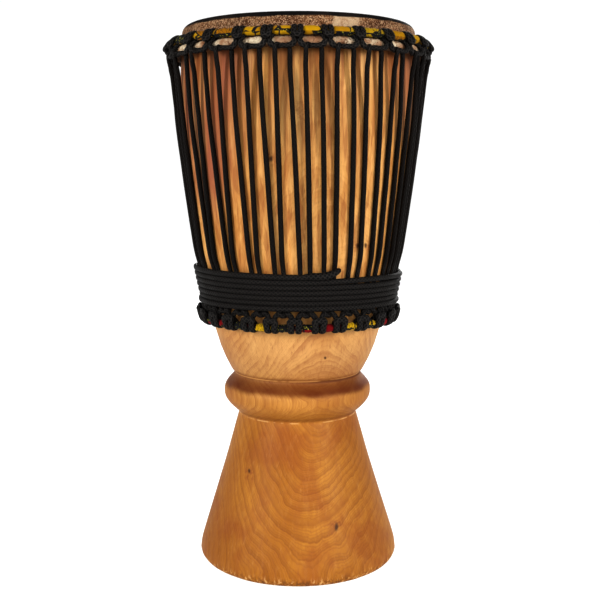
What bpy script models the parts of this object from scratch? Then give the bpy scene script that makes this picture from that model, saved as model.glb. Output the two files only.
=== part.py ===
"""Bougarabou: a goblet-shaped hand drum carved from one log, with a rope-tuned hide head.

The drum stands on its foot. Z is up, the origin is the centre of the foot's underside,
-Y is the front. All sizes are in metres.

Pieces, from the outside in:
  shell               carved log: bowl, grooved neck ring and flared foot, open right through
  head_skin           hide laid over the bearing edge and rolled round the flesh hoop
  flesh_hoop          steel ring inside the roll of the hide
  crown_hoop          steel ring that the rope loops pull down on
  crown_hoop_cloth    cotton strip wound round the crown hoop
  lower_hoop          steel ring seated on the taper of the bowl
  lower_hoop_cloth    cotton strip wound round the lower hoop
  crown_loop_rope     rope cradle hitched round the crown hoop, one loop per bay
  lower_loop_rope     rope cradle hitched round the lower hoop
  lacing_rope         zigzag rope that pulls the two cradles together
  binding_rope        turns of rope wound over the lacing, with a short tail
"""

import math

import bmesh
import bpy
from mathutils import Matrix, Vector

for old in list(bpy.data.objects):
    bpy.data.objects.remove(old, do_unlink=True)

# ---------------------------------------------------------------- driving dimensions
HEAD_Z = 0.6118          # playing surface above the floor
HIDE_T = 0.0013          # thickness of the hide
GAP = 0.0003             # clearance between pieces that touch
EDGE_R = 0.1192          # radius of the crest of the bearing edge
EDGE_ROUND = 0.0080      # rounding of the bearing edge
EDGE_Z = HEAD_Z - HIDE_T - GAP - EDGE_ROUND    # centre of that rounding

BAYS = 27                # rope loops round each hoop
ROPE_R = 0.0025          # rope radius where it lies free
ROPE_PRESSED = 0.0017    # rope radius where it is pressed flat under the binding or by another rope
ROPE_NIPPED = 0.00135    # rope radius where it is nipped between the crown hoop and the hide's roll

FLESH_R, FLESH_Z = 0.1364, 0.5798      # flesh hoop, centre of its rod
FLESH_ROD = 0.0030
CROWN_R, CROWN_Z = 0.1407, 0.5908      # crown hoop, centre of its rod
CROWN_ROD = 0.0025
CROWN_BAY_R, CROWN_BAY_Z = 0.1450, 0.5716      # bottom of the crown cradle's bays
LOWER_R, LOWER_Z = 0.1090, 0.2872      # lower hoop, centre of its rod
LOWER_ROD = 0.0024
LOWER_BAY_R, LOWER_BAY_Z = 0.1108, 0.2990      # top of the lower cradle's bays
CLOTH_T = 0.0006         # thickness of the cotton strips

NECK_GROOVE_TOP = (0.2205, 0.0734)     # height and radius of the groove above the neck ring
NECK_RING = (0.1985, 0.0853)           # widest line of the neck ring
NECK_GROOVE_LOW = (0.1738, 0.0680)     # groove below the neck ring, the drum's waist
FOOT_R = 0.1157          # widest radius of the foot
FOOT_ROUND = 0.0112      # rounding of the foot's outer edge
FOOT_FLAT_OUT = FOOT_R - FOOT_ROUND    # the foot rests on the ring between these two radii
FOOT_FLAT_IN = 0.0975

BIND_TURNS = 7
BIND_PITCH = 0.0054
BIND_Z0 = 0.3084         # height of the lowest turn
BIND_OUT = 0.0080        # centre of the turns outside the bowl, clear of the lacing
BIND_R = 0.0022          # rope radius in the turns, pulled tight

SIDES = 36               # facets round the turned pieces

# Outer line of the bowl, (height, radius), from the upper groove to the rim.
BOWL = [
    NECK_GROOVE_TOP, (0.2321, 0.0803), (0.2465, 0.0868), (0.2680, 0.0941),
    (0.2860, 0.0991), (0.3000, 0.1021), (0.3250, 0.1075), (0.3487, 0.1123),
    (0.3740, 0.1167), (0.4200, 0.1232), (0.4645, 0.1289), (0.5100, 0.1322),
    (0.5400, 0.1329), (0.5690, 0.1320), (0.5800, 0.1306), (0.5930, 0.1280),
    (EDGE_Z, EDGE_R + EDGE_ROUND),
]
# Inner line of the hollow, (height, radius), from the foot to the bearing edge.
HOLLOW = [
    (0.0040, 0.0962), (0.0200, 0.0945), (0.0460, 0.0890), (0.0760, 0.0790),
    (0.1040, 0.0680), (0.1500, 0.0520), (0.1738, 0.0440), (0.1950, 0.0425),
    (0.2150, 0.0460), (0.2350, 0.0560), (0.2620, 0.0700), (0.3000, 0.0830),
    (0.3450, 0.0945), (0.4000, 0.1035), (0.4600, 0.1090), (0.5100, 0.1118),
    (0.5600, 0.1125), (0.5980, 0.1115),
]


# ---------------------------------------------------------------- helpers
def smooth_line(stations, h):
    """Radius at height h on a smooth curve through (height, radius) stations."""
    n = len(stations)
    h = min(max(h, stations[0][0]), stations[-1][0])
    i = 0
    while i < n - 2 and h > stations[i + 1][0]:
        i += 1

    def slope(j):
        a, b = max(j - 1, 0), min(j + 1, n - 1)
        return (stations[b][1] - stations[a][1]) / (stations[b][0] - stations[a][0])

    (z0, r0), (z1, r1) = stations[i], stations[i + 1]
    d = z1 - z0
    t = (h - z0) / d
    t2, t3 = t * t, t * t * t
    return ((2 * t3 - 3 * t2 + 1) * r0 + (t3 - 2 * t2 + t) * d * slope(i)
            + (-2 * t3 + 3 * t2) * r1 + (t3 - t2) * d * slope(i + 1))


def bowl_radius(z):
    return smooth_line(BOWL, z)


def at(angle, r, z):
    """Point at that angle round the drum. Angle 0 is the front, and it grows towards +X."""
    return Vector((r * math.sin(angle), -r * math.cos(angle), z))


def material(name, colour, roughness, metallic=0.0):
    m = bpy.data.materials.get(name)
    if m is None:
        m = bpy.data.materials.new(name)
        m.use_nodes = True
        shader = m.node_tree.nodes["Principled BSDF"]
        shader.inputs["Base Color"].default_value = (*colour, 1.0)
        shader.inputs["Roughness"].default_value = roughness
        shader.inputs["Metallic"].default_value = metallic
        m.diffuse_color = (*colour, 1.0)
    return m


def finish(bm, name, mat, sharp=35.0):
    bmesh.ops.recalc_face_normals(bm, faces=bm.faces)
    if bm.calc_volume(signed=True) < 0:
        bmesh.ops.reverse_faces(bm, faces=bm.faces)
    mesh = bpy.data.meshes.new(name)
    bm.to_mesh(mesh)
    bm.free()
    mesh.shade_smooth()
    mesh.set_sharp_from_angle(angle=math.radians(sharp))
    obj = bpy.data.objects.new(name, mesh)
    bpy.context.scene.collection.objects.link(obj)
    mesh.materials.append(mat)
    return obj


def turned(name, profile, mat, sides=SIDES, closed=True):
    """Spins a profile of (radius, height) points round Z. A profile that ends on the axis at
    both ends is left open, and the axis closes it."""
    bm = bmesh.new()
    verts = [bm.verts.new((r, 0.0, z)) for r, z in profile]
    edges = [bm.edges.new((verts[i], verts[i + 1])) for i in range(len(verts) - 1)]
    if closed:
        edges.append(bm.edges.new((verts[-1], verts[0])))
    bmesh.ops.spin(bm, geom=verts + edges, cent=(0, 0, 0), axis=(0, 0, 1),
                   angle=2 * math.pi, steps=sides, use_merge=True)
    bmesh.ops.remove_doubles(bm, verts=bm.verts, dist=1e-6)
    return finish(bm, name, mat)


def round_section(cr, cz, radius, sides):
    """Circle of a ring's cross-section, as (radius, height) points."""
    return [(cr + radius * math.cos(2 * math.pi * i / sides),
             cz + radius * math.sin(2 * math.pi * i / sides)) for i in range(sides)]


def wound_cloth(name, cr, cz, rod, mat, sides):
    """Strip wound round a hoop: a thin sleeve with a seam left open on the inner side."""
    r_in, r_out = rod + GAP, rod + GAP + CLOTH_T
    seam = math.radians(9)
    steps = [math.pi + seam + (2 * math.pi - 2 * seam) * i / (sides - 1) for i in range(sides)]
    outer = [(cr + r_out * math.cos(a), cz + r_out * math.sin(a)) for a in steps]
    inner = [(cr + r_in * math.cos(a), cz + r_in * math.sin(a)) for a in reversed(steps)]
    return turned(name, outer + inner, mat)


def rope(name, rows, mat, closed, sides=5):
    """Tube along rows of (point, rope radius), its section carried along without twist."""
    points, radii = [row[0] for row in rows], [row[1] for row in rows]
    n = len(points)
    bm = bmesh.new()

    def direction(i):
        if closed:
            a, b = points[(i - 1) % n], points[(i + 1) % n]
        else:
            a, b = points[max(i - 1, 0)], points[min(i + 1, n - 1)]
        return (b - a).normalized()

    def stretch(i):
        """The mitre at a bend is longer than the rope is thick."""
        if not closed and (i == 0 or i == n - 1):
            return 1.0, None
        u = (points[i] - points[(i - 1) % n]).normalized()
        v = (points[(i + 1) % n] - points[i]).normalized()
        c = max(-1.0, min(1.0, u.dot(v)))
        half = math.acos(c) / 2
        out = u - v
        if out.length < 1e-6:
            return 1.0, None
        return min(1.0 / math.cos(half), 1.25), out.normalized()

    side = direction(0).cross(Vector((0.3, 0.5, 0.81))).normalized()
    frames = []
    tangent = direction(0)
    for i in range(n):
        t = direction(i)
        axis = tangent.cross(t)
        if axis.length > 1e-9:
            side = Matrix.Rotation(tangent.angle(t), 3, axis.normalized()) @ side
        side = (side - side.dot(t) * t).normalized()
        frames.append((t, side.copy()))
        tangent = t
    turn = 0.0
    if closed:
        t0, s0 = frames[0]
        t, s = frames[-1]
        axis = t.cross(t0)
        if axis.length > 1e-9:
            s = Matrix.Rotation(t.angle(t0), 3, axis.normalized()) @ s
        s = (s - s.dot(t0) * t0).normalized()
        turn = math.atan2(s.cross(s0).dot(t0), s.dot(s0))
    rings = []
    for i, (t, s) in enumerate(frames):
        s = Matrix.Rotation(turn * i / n, 3, t) @ s
        b = t.cross(s)
        k, out = stretch(i)
        ring = []
        for j in range(sides):
            a = 2 * math.pi * j / sides
            d = s * math.cos(a) + b * math.sin(a)
            if out is not None:
                d = d + out * (d.dot(out) * (k - 1.0))
            ring.append(bm.verts.new(points[i] + d * radii[i]))
        rings.append(ring)
    last = n if closed else n - 1
    for i in range(last):
        a, b = rings[i], rings[(i + 1) % n]
        for j in range(sides):
            bm.faces.new((a[j], a[(j + 1) % sides], b[(j + 1) % sides], b[j]))
    if not closed:
        bm.faces.new(list(reversed(rings[0])))
        bm.faces.new(rings[-1])
    return finish(bm, name, mat, sharp=80.0)


# ---------------------------------------------------------------- pieces
def make_shell():
    wood = material("carved_wood", (0.42, 0.20, 0.07), 0.55)
    outer = []
    # the foot: flat resting ring, rounded edge, straight flare
    outer.append((FOOT_FLAT_OUT, 0.0))
    for i in range(1, 4):
        a = math.radians(-90 + 90 * i / 3)
        outer.append((FOOT_FLAT_OUT + FOOT_ROUND * math.cos(a), FOOT_ROUND + FOOT_ROUND * math.sin(a)))
    z_low, r_low = NECK_GROOVE_LOW
    outer.append((0.1133, 0.0228))
    outer.append((0.0910, 0.0952))
    outer.append((0.0700, 0.1665))
    outer.append((r_low, z_low))
    # the neck ring between its two grooves
    ring_z, ring_r = NECK_RING
    for dz, dr in ((-0.0165, -0.0098), (-0.0095, -0.0032), (0.0, 0.0), (0.0085, -0.0012), (0.0155, -0.0068)):
        outer.append((ring_r + dr, ring_z + dz))
    # the bowl
    for z in (NECK_GROOVE_TOP[0], 0.2321, 0.2465, 0.2680, 0.3000, 0.3400, 0.3850, 0.4300, 0.4750, 0.5200, 0.5560, 0.5800):
        outer.append((bowl_radius(z), z))
    # the rounded bearing edge
    for a in (0, 30, 60, 90):
        a = math.radians(a)
        outer.append((EDGE_R + EDGE_ROUND * math.cos(a), EDGE_Z + EDGE_ROUND * math.sin(a)))
    outer.append((0.1142, 0.6082))
    inner = [(smooth_line(HOLLOW, z), z) for z in
             (0.5980, 0.5300, 0.4600, 0.4000, 0.3450, 0.3000, 0.2620, 0.2350, 0.2120, 0.1900, 0.1690,
              0.1400, 0.0760, 0.0200)]
    inner.append((FOOT_FLAT_IN, 0.0))
    return turned("shell", outer + inner, wood)


def make_head_skin():
    hide = material("hide", (0.40, 0.25, 0.15), 0.6)
    r_out, r_in = EDGE_ROUND + GAP + HIDE_T, EDGE_ROUND + GAP
    over = [(0.0, EDGE_Z + r_out)]
    for a in (90, 60, 30, 0):
        a = math.radians(a)
        over.append((EDGE_R + r_out * math.cos(a), EDGE_Z + r_out * math.sin(a)))
    over += [(0.1299, 0.5935), (0.1316, 0.5860)]
    under = [(0.1303, 0.5855), (0.1287, 0.5930)]
    for a in (0, 30, 60, 90):
        a = math.radians(a)
        under.append((EDGE_R + r_in * math.cos(a), EDGE_Z + r_in * math.sin(a)))
    under.append((0.0, EDGE_Z + r_in))
    # the roll: down the inner side of the flesh hoop, under it, and up its outer side
    roll = [math.radians(a) for a in (180, 225, 270, 315, 360, 405, 435)]
    ri, ro = FLESH_ROD + GAP, FLESH_ROD + GAP + HIDE_T
    near = [(FLESH_R + ri * math.cos(a), FLESH_Z + ri * math.sin(a)) for a in roll]
    far = [(FLESH_R + ro * math.cos(a), FLESH_Z + ro * math.sin(a)) for a in reversed(roll)]
    return turned("head_skin", over + near + far + under, hide, closed=False)


def round_turn(rows, centre, wrap, turn, span):
    """Adds a round turn over a hoop. turn lists (angle round the rod, rope radius, spare room), and
    span is how far the turn travels along the hoop, in degrees round the drum."""
    knot, cr, cz = centre
    for j, (deg, r, spare) in enumerate(turn):
        c = math.radians(deg)
        k = wrap + r + spare
        ang = knot + math.radians(span * (j / (len(turn) - 1) - 0.5))
        rows.append((at(ang, cr + k * math.cos(c), cz + k * math.sin(c)), r))


def crown_path():
    """Rope cradle of the crown hoop: at each knot the rope goes up in front of the hoop, over it,
    down behind, nipped between the hoop and the hide's roll, and out below. Between knots it hangs
    in a flat-bottomed bay."""
    wrap = CROWN_ROD + GAP + CLOTH_T + GAP
    turn = ((0, 0.0025, 0.0009), (52, 0.0025, 0.0009), (104, 0.0023, 0.0009), (152, 0.0020, 0.0009),
            (201, 0.0017, 0.0014), (250, ROPE_NIPPED, 0.00035), (304, 0.0019, 0.0009))
    rows = []
    for i in range(BAYS):
        knot = 2 * math.pi * i / BAYS

        def p(deg, r, z, radius=ROPE_R):
            rows.append((at(knot + math.radians(deg), r, z), radius))

        p(-3.5, CROWN_BAY_R, CROWN_BAY_Z)
        p(-1.7, 0.1470, 0.5800)
        round_turn(rows, (knot, CROWN_R, CROWN_Z), wrap, turn, 2.5)
        p(1.7, 0.1466, 0.5796, 0.0023)
        p(3.5, CROWN_BAY_R, CROWN_BAY_Z)
    return rows


def lower_path():
    """Rope cradle of the lower hoop: the same hitch upside down, with bays that arch upwards."""
    wrap = LOWER_ROD + GAP + CLOTH_T + GAP
    turn = ((0, 0.0025, 0.0010), (-60, 0.0023, 0.0010), (-120, 0.0021, 0.0010), (-180, 0.0020, 0.0010),
            (-240, 0.0020, 0.0010), (-300, 0.0022, 0.0010))
    rows = []
    for i in range(BAYS):
        knot = 2 * math.pi * i / BAYS

        def p(deg, r, z, radius=ROPE_R):
            rows.append((at(knot + math.radians(deg), r, z), radius))

        p(-3.9, 0.1113, LOWER_BAY_Z - 0.0018)
        p(-2.1, 0.1145, 0.2934)
        round_turn(rows, (knot, LOWER_R, LOWER_Z), wrap, turn, 2.6)
        p(2.1, 0.1141, 0.2942)
        p(3.9, 0.1113, LOWER_BAY_Z - 0.0018)
        p(6.667, LOWER_BAY_R, LOWER_BAY_Z)
    return rows


def lacing_path():
    """Zigzag between the two cradles. It goes up in front of a bay of the crown cradle, over its
    rope and down behind it, then down in front of the next bay of the lower cradle, under its
    rope and up behind it. The legs lie on the bowl below the shoulder, pressed flat under the
    binding."""
    bay = 2 * math.pi / BAYS
    rows = []

    def on_bowl(z, radius):
        return bowl_radius(z) + GAP + radius + (0.0011 if z > 0.36 else 0.0008)

    def leg(a_top, a_low, r_top, share, down):
        """Middle of a leg. share says how much of the sideways run is done at a height."""
        levels = ((0.545, share[0], ROPE_R), (0.480, share[1], ROPE_R), (0.415, share[2], ROPE_R),
                  (0.352, share[3], ROPE_PRESSED))
        run = []
        for z, s, radius in levels:
            r = on_bowl(z, radius)
            if z > 0.52:
                r = max(r, r_top)
            run.append((at(a_top + (a_low - a_top) * s, r, z), radius))
        return run if down else list(reversed(run))

    left_share = (0.04, 0.11, 0.22, 0.38)
    right_share = (0.07, 0.21, 0.41, 0.66)
    for i in range(BAYS):
        a = bay * (i + 0.5)
        top_in, top_out = a - math.radians(3.2), a + math.radians(3.2)
        low_from, low_to = a + math.radians(1.75), a + bay - math.radians(1.75)
        # up to the crown bay, over its rope
        rows += leg(top_in, low_from, 0.1454, left_share, down=False)
        for deg, ang, radius, h in ((-20, -3.2, 0.0020, 0.0054), (35, -2.2, ROPE_PRESSED, 0.0053), (90, 0.0, ROPE_PRESSED, 0.0052),
                                    (145, 2.2, ROPE_PRESSED, 0.0052), (200, 3.2, 0.0018, 0.0053)):
            c = math.radians(deg)
            rows.append((at(a + math.radians(ang), CROWN_BAY_R + h * math.cos(c), CROWN_BAY_Z + h * math.sin(c)), radius))
        rows += leg(top_out, low_to, 0.1375, right_share, down=True)
        # under the next lower bay: out between it and the binding, round it, and up behind it
        b = a + bay
        rows.append((at(b - math.radians(1.75), on_bowl(0.3106, 0.0016), 0.3106), 0.0016))
        rows.append((at(b - math.radians(1.75), 0.1066, 0.3054), 0.0016))
        for deg, ang, radius, h in ((80, -1.75, 0.0015, 0.0047), (38, -1.75, 0.0016, 0.0051), (-5, -1.5, 0.0017, 0.0053),
                                    (-50, -0.8, 0.0017, 0.0053), (-108, 0.4, 0.0017, 0.0053), (-165, 1.4, 0.0016, 0.0052)):
            c = math.radians(deg)
            rows.append((at(b + math.radians(ang), LOWER_BAY_R + h * math.cos(c), LOWER_BAY_Z + h * math.sin(c)), radius))
        rows.append((at(b + math.radians(1.7), 0.1064, 0.3040), 0.0016))
        rows.append((at(b + math.radians(1.75), on_bowl(0.3106, 0.0016), 0.3106), 0.0016))
    return rows


def binding_path():
    """Turns of rope over the lacing, from the lowest turn up, ending in a short free tail."""
    per_turn = 36
    start, end = math.radians(-165), math.radians(12)
    total = (BIND_TURNS - 1) * 2 * math.pi + (end - start)
    n = round(total / (2 * math.pi) * per_turn)
    rows = []
    for i in range(n + 1):
        a = start + total * i / n
        z = BIND_Z0 + BIND_PITCH * (a - start) / (2 * math.pi)
        rows.append((at(a, bowl_radius(z) + BIND_OUT, z), BIND_R))
    a_end, z_end, r_end = a, z, bowl_radius(z) + BIND_OUT
    for da, dr, dz in ((4.0, 0.0006, 0.0014), (7.5, 0.0016, 0.0040), (11.0, 0.0024, 0.0074)):
        rows.append((at(a_end + math.radians(da), r_end + dr, z_end + dz), ROPE_R))
    return rows


def build():
    steel = material("hoop_steel", (0.45, 0.45, 0.46), 0.35, 1.0)
    print_a = material("crown_cloth", (0.72, 0.42, 0.05), 0.85)
    print_b = material("lower_cloth", (0.45, 0.04, 0.05), 0.85)
    black = material("black_rope", (0.010, 0.010, 0.011), 0.6)

    make_shell()
    make_head_skin()
    turned("flesh_hoop", round_section(FLESH_R, FLESH_Z, FLESH_ROD, 6), steel)
    turned("crown_hoop", round_section(CROWN_R, CROWN_Z, CROWN_ROD, 6), steel)
    wound_cloth("crown_hoop_cloth", CROWN_R, CROWN_Z, CROWN_ROD, print_a, 10)
    turned("lower_hoop", round_section(LOWER_R, LOWER_Z, LOWER_ROD, 6), steel)
    wound_cloth("lower_hoop_cloth", LOWER_R, LOWER_Z, LOWER_ROD, print_b, 10)
    rope("crown_loop_rope", crown_path(), black, closed=True)
    rope("lower_loop_rope", lower_path(), black, closed=True)
    rope("lacing_rope", lacing_path(), black, closed=True, sides=4)
    rope("binding_rope", binding_path(), black, closed=False, sides=4)


build()
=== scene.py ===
"""Looks of the bougarabou: carved wood, hide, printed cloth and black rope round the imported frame."""
import math
import random

import bpy
import numpy as np
from mathutils import Matrix, Vector, noise


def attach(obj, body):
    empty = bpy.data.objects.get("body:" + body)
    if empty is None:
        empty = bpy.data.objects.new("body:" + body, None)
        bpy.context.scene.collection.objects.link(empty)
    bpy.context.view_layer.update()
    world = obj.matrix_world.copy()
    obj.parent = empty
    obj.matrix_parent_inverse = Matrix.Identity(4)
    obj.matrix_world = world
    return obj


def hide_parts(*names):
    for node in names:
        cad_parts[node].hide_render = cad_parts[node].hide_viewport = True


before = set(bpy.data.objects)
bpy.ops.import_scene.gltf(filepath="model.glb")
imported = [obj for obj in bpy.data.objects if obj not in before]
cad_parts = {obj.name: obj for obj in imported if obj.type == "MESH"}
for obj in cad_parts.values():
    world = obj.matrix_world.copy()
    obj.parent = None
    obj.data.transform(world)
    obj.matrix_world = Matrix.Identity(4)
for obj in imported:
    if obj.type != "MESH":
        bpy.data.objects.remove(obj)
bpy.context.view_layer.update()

BAYS = 27
STEP = 360.0 / BAYS
PLAIT = 0.0046             # length of one repeat of the rope's plait


# ------------------------------------------------------------------ camera, floor, light
def make_stage():
    cam = bpy.data.cameras.new("camera")
    cam.lens, cam.sensor_width = 60.0, 36.0
    ob = bpy.data.objects.new("camera", cam)
    bpy.context.scene.collection.objects.link(ob)
    ob.location = (0.0016, -1.155, 0.4524)
    ob.rotation_euler = (math.radians(90 - 7.36), 0, 0)
    bpy.context.scene.camera = ob

    mesh = bpy.data.meshes.new("floor")
    n = 96
    verts = [(0, 0, 0)] + [(9 * math.cos(2 * math.pi * i / n), 9 * math.sin(2 * math.pi * i / n), 0) for i in range(n)]
    mesh.from_pydata(verts, [], [(0, 1 + i, 1 + (i + 1) % n) for i in range(n)])
    floor = bpy.data.objects.new("floor", mesh)
    bpy.context.scene.collection.objects.link(floor)
    mat = bpy.data.materials.new("floor_pale")
    mat.use_nodes = True
    b = mat.node_tree.nodes["Principled BSDF"]
    b.inputs["Base Color"].default_value = (0.20, 0.20, 0.20, 1)
    b.inputs["Emission Color"].default_value = (1.0, 1.0, 1.0, 1)
    b.inputs["Emission Strength"].default_value = 0.95
    b.inputs["Roughness"].default_value = 0.85
    b.inputs["Specular IOR Level"].default_value = 0.15
    mesh.materials.append(mat)

    world = bpy.data.worlds.new("studio")
    world.use_nodes = True
    tree = world.node_tree
    bg = tree.nodes["Background"]
    bg.inputs["Color"].default_value = (1.0, 1.0, 1.0, 1)
    # white walls, dim ceiling: the strength falls with the height of the direction
    sky = tree.nodes.new("ShaderNodeTexCoord")
    part = tree.nodes.new("ShaderNodeSeparateXYZ")
    fall = tree.nodes.new("ShaderNodeMapRange")
    fall.interpolation_type = "SMOOTHSTEP"
    for name, v in (("From Min", 0.26), ("From Max", 0.50), ("To Min", 1.03), ("To Max", 0.14)):
        fall.inputs[name].default_value = v
    tree.links.new(sky.outputs["Generated"], part.inputs[0])
    tree.links.new(part.outputs[2], fall.inputs["Value"])
    tree.links.new(fall.outputs[0], bg.inputs["Strength"])
    bpy.context.scene.world = world

    def area(name, loc, size, power, target=(0, 0, 0.33)):
        light = bpy.data.lights.new(name, "AREA")
        light.shape = "RECTANGLE"
        light.size, light.size_y = size
        light.energy = power
        o = bpy.data.objects.new(name, light)
        o.location = loc
        o.rotation_euler = (Vector(target) - Vector(loc)).to_track_quat("-Z", "Y").to_euler()
        bpy.context.scene.collection.objects.link(o)

    area("key_left", (-1.85, -1.65, 1.12), (0.30, 0.9), 49)
    area("key_right", (1.90, -1.60, 1.10), (0.32, 0.9), 50)
    area("front_soft", (0.2, -2.6, 0.95), (1.6, 1.0), 20)
    area("top_soft", (0.0, 0.2, 2.2), (1.4, 1.4), 4)
    area("back_soft", (0.3, 2.2, 1.2), (1.8, 1.4), 58)
    bpy.context.scene.view_settings.view_transform = "Standard"
    bpy.context.scene.view_settings.look = "None"
    bpy.context.scene.view_settings.gamma = 0.75


# ------------------------------------------------------------------ node graph helper
class Graph:
    def __init__(self, name):
        self.mat = bpy.data.materials.new(name)
        self.mat.use_nodes = True
        self.t = self.mat.node_tree
        self.shader = self.t.nodes["Principled BSDF"]

    def add(self, kind, ins=(), **props):
        node = self.t.nodes.new(kind)
        for k, v in props.items():
            setattr(node, k, v)
        for k, v in dict(ins).items():
            self.put(node.inputs[k], v)
        return node

    def put(self, socket, v):
        if isinstance(v, bpy.types.NodeSocket):
            self.t.links.new(v, socket)
        else:
            if hasattr(socket.default_value, "__len__") and hasattr(v, "__len__") and len(socket.default_value) == 4 and len(v) == 3:
                v = (*v, 1.0)
            socket.default_value = v

    def out(self, name, v):
        self.put(self.shader.inputs[name], v)

    def m(self, op, a, b=0.0, c=0.0, clamp=False):
        return self.add("ShaderNodeMath", {0: a, 1: b, 2: c}, operation=op, use_clamp=clamp).outputs[0]

    def mul(self, a, b): return self.m("MULTIPLY", a, b)
    def plus(self, a, b): return self.m("ADD", a, b)

    def smooth(self, x, lo, hi):
        """0 below lo, 1 above hi, smooth between; lo may be above hi."""
        node = self.add("ShaderNodeMapRange", {"Value": x, "From Min": lo, "From Max": hi, "To Min": 0.0, "To Max": 1.0},
                        interpolation_type="SMOOTHSTEP")
        return node.outputs[0]

    def span(self, x, lo, hi, to_lo, to_hi):
        return self.add("ShaderNodeMapRange", {"Value": x, "From Min": lo, "From Max": hi, "To Min": to_lo, "To Max": to_hi}).outputs[0]

    def mix(self, f, a, b, blend="MIX"):
        node = self.add("ShaderNodeMix", data_type="RGBA", blend_type=blend)
        self.put(node.inputs[0], f); self.put(node.inputs[6], a); self.put(node.inputs[7], b)
        return node.outputs[2]

    def mixf(self, f, a, b):
        node = self.add("ShaderNodeMix", data_type="FLOAT")
        self.put(node.inputs[0], f); self.put(node.inputs[2], a); self.put(node.inputs[3], b)
        return node.outputs[0]

    def ramp(self, f, stops, interp="LINEAR"):
        node = self.add("ShaderNodeValToRGB", {0: f})
        r = node.color_ramp
        r.interpolation = interp
        while len(r.elements) > 1:
            r.elements.remove(r.elements[-1])
        r.elements[0].position = stops[0][0]
        r.elements[0].color = (*stops[0][1], 1)
        for p, c in stops[1:]:
            e = r.elements.new(p)
            e.color = (*c, 1)
        return node.outputs[0]

    def noise(self, vec, scale, detail=3.0, rough=0.5, distortion=0.0, colour=False):
        node = self.add("ShaderNodeTexNoise", {"Vector": vec, "Scale": scale, "Detail": detail, "Roughness": rough, "Distortion": distortion})
        return node.outputs["Color" if colour else "Fac"]

    def cells(self, vec, scale, feature="F1", out="Distance", randomness=1.0):
        node = self.add("ShaderNodeTexVoronoi", {"Vector": vec, "Scale": scale, "Randomness": randomness}, feature=feature)
        return node.outputs[out]

    def object_xyz(self):
        o = self.add("ShaderNodeTexCoord").outputs["Object"]
        s = self.add("ShaderNodeSeparateXYZ", {0: o})
        return o, s.outputs[0], s.outputs[1], s.outputs[2]

    def uv(self):
        o = self.add("ShaderNodeUVMap", uv_map="UVMap").outputs[0]
        s = self.add("ShaderNodeSeparateXYZ", {0: o})
        return o, s.outputs[0], s.outputs[1]

    def vec(self, x, y, z=0.0):
        return self.add("ShaderNodeCombineXYZ", {0: x, 1: y, 2: z}).outputs[0]

    def scaled(self, v, by):
        return self.add("ShaderNodeVectorMath", {0: v, 1: by}, operation="MULTIPLY").outputs[0]

    def vadd(self, a, b):
        return self.add("ShaderNodeVectorMath", {0: a, 1: b}, operation="ADD").outputs[0]

    def bump(self, height, strength, distance, normal=None):
        node = self.add("ShaderNodeBump", {"Height": height, "Strength": strength, "Distance": distance})
        if normal is not None:
            self.put(node.inputs["Normal"], normal)
        return node.outputs[0]


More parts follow.
